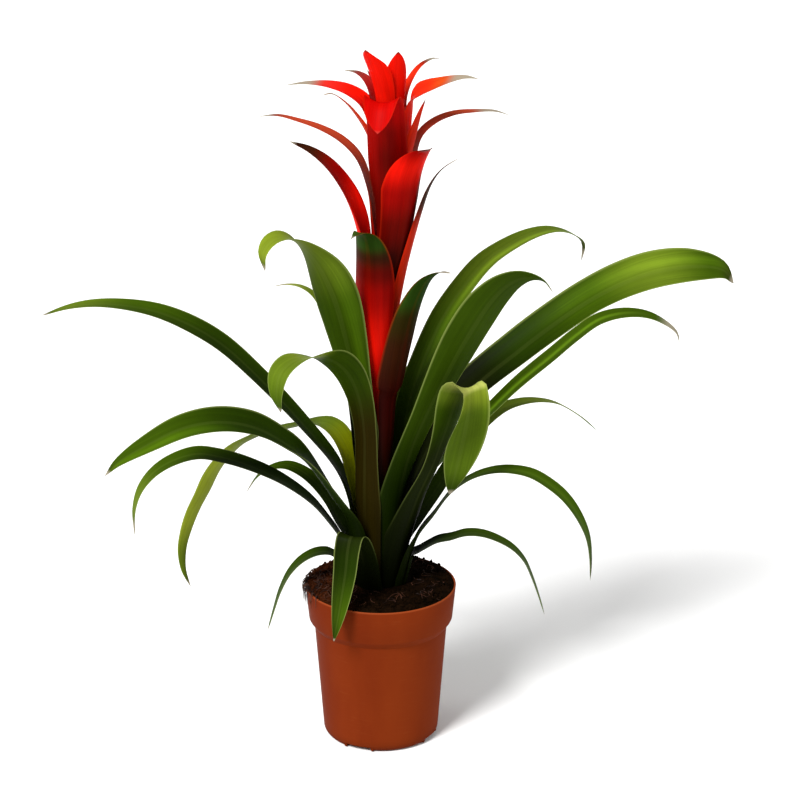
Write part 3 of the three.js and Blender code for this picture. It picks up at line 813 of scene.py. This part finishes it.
# %% Turn the stem
STEM = {"foot": 94, "rings": range(190, 510, 20), "blunt_from": 508, "steps": 32}
CROWN_OUTLINE = [(0, STEM["foot"]), (7, STEM["foot"]), (CROWN["radius"], 102),
                 (CROWN["radius"], CROWN["top"]), (SCAPE["radius"], CROWN["top"] + 10)]


def spin_outline(points, steps):
    """A closed body turned from (radius, height) points that start and end on the axis."""
    form = bmesh.new()
    corners = [form.verts.new((r * MM, 0, z * MM)) for r, z in points]
    wire = [form.edges.new(pair) for pair in zip(corners, corners[1:])]
    bmesh.ops.spin(form, geom=corners + wire, axis=(0, 0, 1), cent=(0, 0, 0), steps=steps,
                   angle=2 * math.pi, use_merge=True)
    return closed(form)


def make_stem():
    """The crown and the stalk, leant over like the bracts."""
    rings = [(scape_radius(z), z) for z in STEM["rings"]]
    top = [(SCAPE["top_radius"], STEM["blunt_from"]), (0, SCAPE["top"])]
    form = spin_outline([*CROWN_OUTLINE, *rings, *top], STEM["steps"])
    for corner in form.verts:
        corner.co.x = leaned(corner.co.x / MM, corner.co.z / MM, STALK_LEAN) * MM
    return form


def stem_finish():
    """Olive at the crown and maroon up the stalk, with fine upright streaks."""
    finish = Finish("stem_skin", Specular_IOR_Level=0.2)
    place = finish.place()
    streaks = finish.cloud(finish.stretched(place, (400, 400, 20)), 1.0, 3)
    height = finish.add("ShaderNodeSeparateXYZ", {}, {0: place}, output="Z")
    tint = finish.mixed(height.between(0.15, 0.35), "100f03", "220a03")
    tint = finish.mixed(1.0, tint, finish.grey(0.7 + streaks * 0.5), "MULTIPLY")
    return finish.feed(Base_Color=tint, Roughness=0.45 + streaks * 0.2,
                       Normal=finish.bumped(streaks, 0.0002, 0.5))


hand_over(make_stem(), "stem_body", stem_finish(), "stem")
print("stem", SCAPE["top"] - STEM["foot"], "mm long")

# %% [markdown]
# ## The pot
#
# A nursery pot is one thin shell of polypropylene. It is turned like the stem, from an
# outline that goes up the outside and down the inside. The rim band, the shoulder below
# it and the rounded foot are in the outline, and its corners are rounded before the
# spin. Four arches at the foot, with a slot over each, let water out. They are cut with
# Boolean modifiers, which are applied here so that the mesh is final.

# %% The pot's measures
POT = {
    "height": 128, "rim": 60, "band_foot": 57.2, "band": 100, "shoulder": 94, "body_top": 52.8,
    "body_foot": 46, "foot": 40, "curve": 7, "wall": 1.4, "floor": 2, "steps": 120,
}
DRAIN = {"turns": (-114, -24, 66, 156), "width": 21, "height": 4, "inner": 27, "wall": 2,
         "past": 5, "under": 1, "slot": (12, 7), "slot_radius": 35}


def pot_outline(inset, floor):
    """(radius, height) up one side of the wall, inset from the outside."""
    bend = [(POT["foot"] + (POT["body_foot"] - POT["foot"]) * math.sin(a) - inset,
             floor + (POT["curve"] - floor) * (1 - math.cos(a)))
            for a in (k / 8 * math.pi / 2 for k in range(9))]
    step = [(POT["body_top"], POT["shoulder"]), (POT["body_top"] + 0.35, POT["shoulder"] + 0.5),
            (POT["band_foot"] - 0.5, POT["band"] - 0.6), (POT["band_foot"], POT["band"] + 0.5)]
    return [*bend, *((r - inset, z) for r, z in step)]


def pot_shell():
    """The wall and floor before the drainage is cut, with a rounded lip."""
    top, rim, wall = POT["height"], POT["rim"], POT["wall"]
    lip = [(rim, top - 0.9), (rim - 0.15, top - 0.35), (rim - 0.5, top), (rim - 0.9, top),
           (rim - wall + 0.1, top - 0.2), (rim - wall, top - 0.7)]
    outline = [(0, 0), *pot_outline(0, 0), *lip, *reversed(pot_outline(wall, POT["floor"])),
               (0, POT["floor"])]
    return spin_outline(outline, POT["steps"])


def block(turn, near, far, width, low, high):
    """A box that points outwards from the axis."""
    form = bmesh.new()
    bmesh.ops.create_cube(form, size=1)
    size = ((far - near) * MM, width * MM, (high - low) * MM)
    bmesh.ops.scale(form, verts=form.verts, vec=size)
    middle = ((far + near) / 2 * MM, 0, (high + low) / 2 * MM)
    bmesh.ops.translate(form, verts=form.verts, vec=middle)
    bmesh.ops.rotate(form, verts=form.verts, cent=(0, 0, 0),
                     matrix=Matrix.Rotation(math.radians(turn), 3, "Z"))
    return form


def cut(form, tool, operation):
    """The form after one exact Boolean with the tool."""
    pair = []
    for part in (form, tool):
        mesh = bpy.data.meshes.new("blank")
        part.to_mesh(mesh)
        part.free()
        pair.append(put("blank", mesh))
    modifier = pair[0].modifiers.new("cut", "BOOLEAN")
    modifier.operation, modifier.object, modifier.solver = operation, pair[1], "EXACT"
    done = bpy.data.meshes.new_from_object(
        pair[0].evaluated_get(bpy.context.evaluated_depsgraph_get()))
    result = bmesh.new()
    result.from_mesh(done)
    for thing in pair:
        bpy.data.objects.remove(thing)
    return result


def make_pot():
    """The shell with four arches, each under a roof of its own that has a slot in it."""
    pot = pot_shell()
    roof, wall, under = DRAIN["height"] + POT["floor"], DRAIN["wall"], DRAIN["under"]
    long, short = DRAIN["slot"]
    for turn in DRAIN["turns"]:
        lobe = block(turn, DRAIN["inner"] - wall, POT["body_foot"] - 2 * POT["wall"],
                     DRAIN["width"] + 2 * wall, POT["floor"] / 2, roof)
        arch = block(turn, DRAIN["inner"], POT["body_foot"] + DRAIN["past"], DRAIN["width"],
                     -under, DRAIN["height"])
        slot = block(turn, DRAIN["slot_radius"] - short / 2, DRAIN["slot_radius"] + short / 2,
                     long, POT["floor"] / 2, roof + under)
        for tool, operation in ((lobe, "UNION"), (arch, "DIFFERENCE"), (slot, "DIFFERENCE")):
            pot = cut(pot, tool, operation)
    return pot


def pot_finish():
    """Moulded plastic: faint flow marks and fine scuffs, with a painted highlight along the lip
    and painted shade at the foot.
    """
    finish = Finish("pot_plastic", Specular_IOR_Level=0.01)
    place = finish.place()
    flow = finish.cloud(finish.stretched(place, (14, 14, 5)), 1.0, 4)
    grain = finish.cloud(place, 900, 2)
    scuffs = finish.cloud(finish.stretched(place, (60, 60, 700)), 1.0, 3).between(0.58, 0.75)
    height = finish.add("ShaderNodeSeparateXYZ", {}, {0: place}, output="Z")
    tint = finish.mixed(flow.between(0.3, 0.7), "5c1e08", "6a270b")
    # A painted highlight: the top of the lip is mixed towards a paler orange.
    tint = finish.mixed(height.between(0.1262, 0.1279) * 0.3, tint, "a9552c")
    tint = finish.mixed(scuffs * 0.08, tint, "8a4a28")
    # Painted shade: the wall is darker towards the floor, where the foot stands in shade.
    tint = finish.mixed((1 - height.between(0.0, 0.012)) * 0.35, tint, "330f04")
    return finish.feed(Base_Color=tint, Roughness=0.42 + flow * 0.15 + scuffs * 0.15,
                       Normal=finish.bumped(grain * 0.5 + flow * 0.5, 0.00008, 0.6))


hand_over(make_pot(), "pot_shell", pot_finish(), "pot", corner=30)
print("pot", POT["height"], "mm high")

# %% [markdown]
# ## The soil
#
# Potting mix is dark and crumbly, level with the rim and a little higher further in.
# The body is turned like the pot and its top is then pushed up and down by noise, the
# coarse lumps first and the fine ones after. Loose crumbs and root fibres lie on it.

# %% Shape the soil
SOIL = {"below": 0.2, "dome": 2.6, "heap": 2.6, "lump": 1.1, "socket": 93.7,
        "underside": [(0, 6.6), (22, 6.6), (44, 7.2)], "rings": 56, "steps": 150}


def soil_height(x, y):
    """The height of the soil's surface at a place, in millimetres."""
    r = math.hypot(x, y)
    rim, hole = POT["rim"] - POT["wall"] - 0.6, CROWN["radius"] + GAP
    t = (rim - r) / (rim - hole)
    heap = SOIL["heap"] * smooth(t / 0.1) * (1 - smooth((t - 0.35) / 0.35))
    base = POT["height"] - SOIL["below"] + SOIL["dome"] * smooth(1.4 * t) + heap
    # Three slow waves that cross each other make the lumps. Their numbers are free.
    coarse = (math.sin(x * 0.31 + 1.3) * math.cos(y * 0.27 - 0.4) * 0.6
              + math.sin(x * 0.13 - y * 0.21 + 2.1) * 0.5 + math.cos(x * 0.47 + y * 0.39) * 0.3)
    loose = smooth((r - 21) / 10) * smooth(t / 0.06)
    crumb = (noise.noise(Vector((x, y, 0)) * 0.45) * 0.9
             + noise.noise(Vector((x, y, 7)) * 1.1) * 0.45)
    return base + loose * (SOIL["lump"] * coarse + crumb)


def make_soil():
    """The body of soil, with a socket for the stem and an uneven top."""
    inset = POT["wall"] + GAP
    wall = pot_outline(inset, POT["floor"] + GAP)
    rim, hole = POT["rim"] - inset - 0.3, CROWN["radius"] + GAP
    rings, level = SOIL["rings"], POT["height"] - SOIL["below"]
    top = [(rim + (hole - rim) * k / rings, level) for k in range(rings + 1)]
    outline = [*SOIL["underside"], *wall[9:], *top, (hole, SOIL["socket"]), (0, SOIL["socket"])]
    form = spin_outline(outline, SOIL["steps"])
    for corner in form.verts:
        x, y = corner.co.x / MM, corner.co.y / MM
        if corner.co.z / MM > level - 0.01:
            corner.co.z = soil_height(x, y) * MM
    return form


def soil_finish():
    """Darker mix on the right, and a warmer, lighter brown on the left."""
    finish = Finish("potting_mix", Specular_IOR_Level=0.01)
    place = finish.place()
    lumps = finish.cloud(place, 160, 6, 0.7)
    specks = finish.cloud(place, 700, 2)
    side = finish.add("ShaderNodeSeparateXYZ", {}, {0: place}, output="X")
    dark = finish.mixed(lumps.between(0.3, 0.7), "050301", "160b04")
    warm = finish.mixed(lumps.between(0.3, 0.7), "120602", "3a1a0a")
    tint = finish.mixed(side.between(-0.012, -0.048), dark, warm)
    tint = finish.mixed(specks.between(0.64, 0.76) * 0.35, tint, "3a2010")
    return finish.feed(Base_Color=tint, Roughness=0.75 + specks * 0.2,
                       Normal=finish.bumped(lumps + specks * 0.5, 0.0008, 0.8))


earth = soil_finish()
hand_over(make_soil(), "soil_body", earth, "soil", corner=80)
print("soil stands", round(soil_height(50, 0), 1), "mm high near the rim")

# %% [markdown]
# Crumbs are small stones of bark and peat, each one an icosphere pressed out of shape.
# They are thickest along the left and back of the rim, where the mix was heaped up.
# All sizes and places are drawn from one seeded source, so every run gives the same.

# %% Scatter the crumbs
luck = random.Random(8429)
CRUMB = {"stretch": (0.6, 1.3), "wobble": 0.35, "pattern": 1.7, "raised": 0.25}
CRUMBS = [
    {"count": 520, "between": (20, 57), "size": (0.5, 1.5)},
    {"count": 150, "between": (46, 57), "size": (0.9, 2.1)},
]
RIM_CRUMBS = {"count": 110, "between": (55.5, 59.6), "turn": (60, 235, 165), "size": (0.7, 1.7)}
ANY_TURN = (0, 6.3)


def add_crumb(form, x, y, size):
    """One crumb, half sunk in the soil."""
    made = bmesh.ops.create_icosphere(form, subdivisions=1, radius=size * MM)["verts"]
    stretch = [luck.uniform(*CRUMB["stretch"]) for _ in range(3)]
    for corner in made:
        spot = corner.co / MM / size * CRUMB["pattern"] + Vector((x, y, size))
        wobble = 1 + CRUMB["wobble"] * noise.noise(spot)
        corner.co = Vector([c * s * wobble for c, s in zip(corner.co, stretch)])
    turned = Matrix.Rotation(luck.uniform(*ANY_TURN), 3, "Z")
    bmesh.ops.rotate(form, verts=made, cent=(0, 0, 0), matrix=turned)
    height = soil_height(x, y) + size * CRUMB["raised"]
    bmesh.ops.translate(form, verts=made, vec=(x * MM, y * MM, height * MM))


def round_axis(r, a):
    """The place at this distance from the axis and in this direction."""
    return r * math.cos(a), r * math.sin(a)


def scattered(count, near, far):
    """Places on the soil between two radii."""
    for _ in range(count):
        r = math.sqrt(luck.uniform(near ** 2, far ** 2))
        yield round_axis(r, luck.uniform(0, 2 * math.pi))


crumbs = bmesh.new()
for batch in CRUMBS:
    for x, y in scattered(batch["count"], *batch["between"]):
        add_crumb(crumbs, x, y, luck.uniform(*batch["size"]))
for _ in range(RIM_CRUMBS["count"]):
    r = luck.uniform(*RIM_CRUMBS["between"])
    x, y = round_axis(r, math.radians(luck.triangular(*RIM_CRUMBS["turn"])))
    add_crumb(crumbs, x, y, luck.uniform(*RIM_CRUMBS["size"]))
hand_over(crumbs, "soil_crumbs", earth, corner=80)
print("crumbs scattered:", sum(batch["count"] for batch in [*CRUMBS, RIM_CRUMBS]))

# %% [markdown]
# Fibres are thin bent strands of root and coir that lie on the mix, most of them on the
# left, and some hang over the rim there. A grid of three columns rolled into a tube is
# enough for a strand, because it is thinner than a millimetre.

# %% Lay the fibres
STRAND = {"steps": 12, "thinning": 0.6, "first": 0.5, "points": 5, "wander": 0.9, "above": 0.3}
LYING = {"count": 70, "between": (24, 50), "sizes": ((5, 13), (0.2, 2), (0.18, 0.4))}
LEFT = {"count": 40, "turn": (165, 245), "radius": 50, "sizes": ((5, 12), (0.5, 3), (0.2, 0.45))}
HANGING = {"count": 46, "turn": (150, 215, 180), "from": 57, "out": (60.6, 62.5),
           "rise": (0.8, 2.6), "edge": (-2, 1), "drop": (3, 11), "thick": (0.25, 0.6)}


def add_fibre(form, points, radius):
    """A thin three-sided strand through the points: a small grid rolled into a tube."""
    line = MiddleLine([Vector(p) for p in points], 6)
    made = bmesh.ops.create_grid(form, x_segments=3, y_segments=STRAND["steps"],
                                 size=0.5)["verts"]
    for corner in made:
        point, forward = line.at(corner.co.y + 0.5)
        side = forward.cross(Vector((0, 0, 1))).normalized()
        thin = radius * (1 - STRAND["thinning"] * (corner.co.y + 0.5))
        a = 2 * math.pi * (corner.co.x + 0.5) + STRAND["first"]
        corner.co = (point + (side * math.cos(a) + side.cross(forward) * math.sin(a)) * thin) * MM


def lie_on_soil(x, y, heading, length, lift):
    """Points of a strand that wanders over the soil."""
    points = []
    for k in range(STRAND["points"]):
        t = k / (STRAND["points"] - 1)
        bend = heading + STRAND["wander"] * math.sin(t * 3 + x)
        px, py = x + length * t * math.cos(bend), y + length * t * math.sin(bend)
        height = soil_height(px, py) + STRAND["above"] + lift * math.sin(math.pi * t)
        points.append((px, py, height))
    return points


def lay_strand(form, x, y, length, lift, thick):
    """One strand on the soil, its sizes drawn between pairs of numbers."""
    path = lie_on_soil(x, y, luck.uniform(*ANY_TURN), luck.uniform(*length), luck.uniform(*lift))
    add_fibre(form, path, luck.uniform(*thick))


def hang_strand(form):
    """One strand from the soil over the left of the rim and down outside it."""
    a = math.radians(luck.triangular(*HANGING["turn"]))
    (x, y), top = round_axis(HANGING["from"], a), POT["height"]
    over = round_axis(luck.uniform(*HANGING["out"]), a + 0.05)
    path = [(x, y, top + 0.5), (x * 1.03, y * 1.03, top + luck.uniform(*HANGING["rise"])),
            (*over, top + luck.uniform(*HANGING["edge"])),
            (*over, top - luck.uniform(*HANGING["drop"]))]
    add_fibre(form, path, luck.uniform(*HANGING["thick"]))


fibres = bmesh.new()
for x, y in scattered(LYING["count"], *LYING["between"]):
    lay_strand(fibres, x, y, *LYING["sizes"])
for _ in range(LEFT["count"]):
    x, y = round_axis(LEFT["radius"], math.radians(luck.uniform(*LEFT["turn"])))
    lay_strand(fibres, x, y, *LEFT["sizes"])
for _ in range(HANGING["count"]):
    hang_strand(fibres)


def fibre_finish():
    """Brown strands, some darker than others."""
    finish = Finish("root_fibre", Specular_IOR_Level=0.3)
    patches = finish.cloud(finish.place(), 90, 2)
    tint = finish.mixed(patches.between(0.4, 0.6), "1c0a04", "45220e")
    return finish.feed(Base_Color=tint, Roughness=0.7 + patches * 0.2)


hand_over(closed(fibres), "soil_fibres", fibre_finish())
print("fibres laid:", sum(batch["count"] for batch in (LYING, LEFT, HANGING)))

# %% [markdown]
# ## The floor
#
# A large pale floor carries the plant's shadow and fills the picture behind it. It
# belongs to the studio, so it is staged and is no piece of the object.

# %% Lay the floor
FLOOR = {"half": 8, "tint": (0.86, 0.86, 0.855, 1), "roughness": 0.9}


def lay_floor():
    """One large square in the plane that the pot stands on."""
    form = bmesh.new()
    bmesh.ops.create_grid(form, x_segments=1, y_segments=1, size=FLOOR["half"])
    mesh = bpy.data.meshes.new("studio_floor")
    form.to_mesh(mesh)
    form.free()
    finish = Finish("studio_paper", Base_Color=FLOOR["tint"], Roughness=FLOOR["roughness"])
    mesh.materials.append(finish.material)
    floor = put("studio_floor", mesh)
    return floor


print("laid", lay_floor().name)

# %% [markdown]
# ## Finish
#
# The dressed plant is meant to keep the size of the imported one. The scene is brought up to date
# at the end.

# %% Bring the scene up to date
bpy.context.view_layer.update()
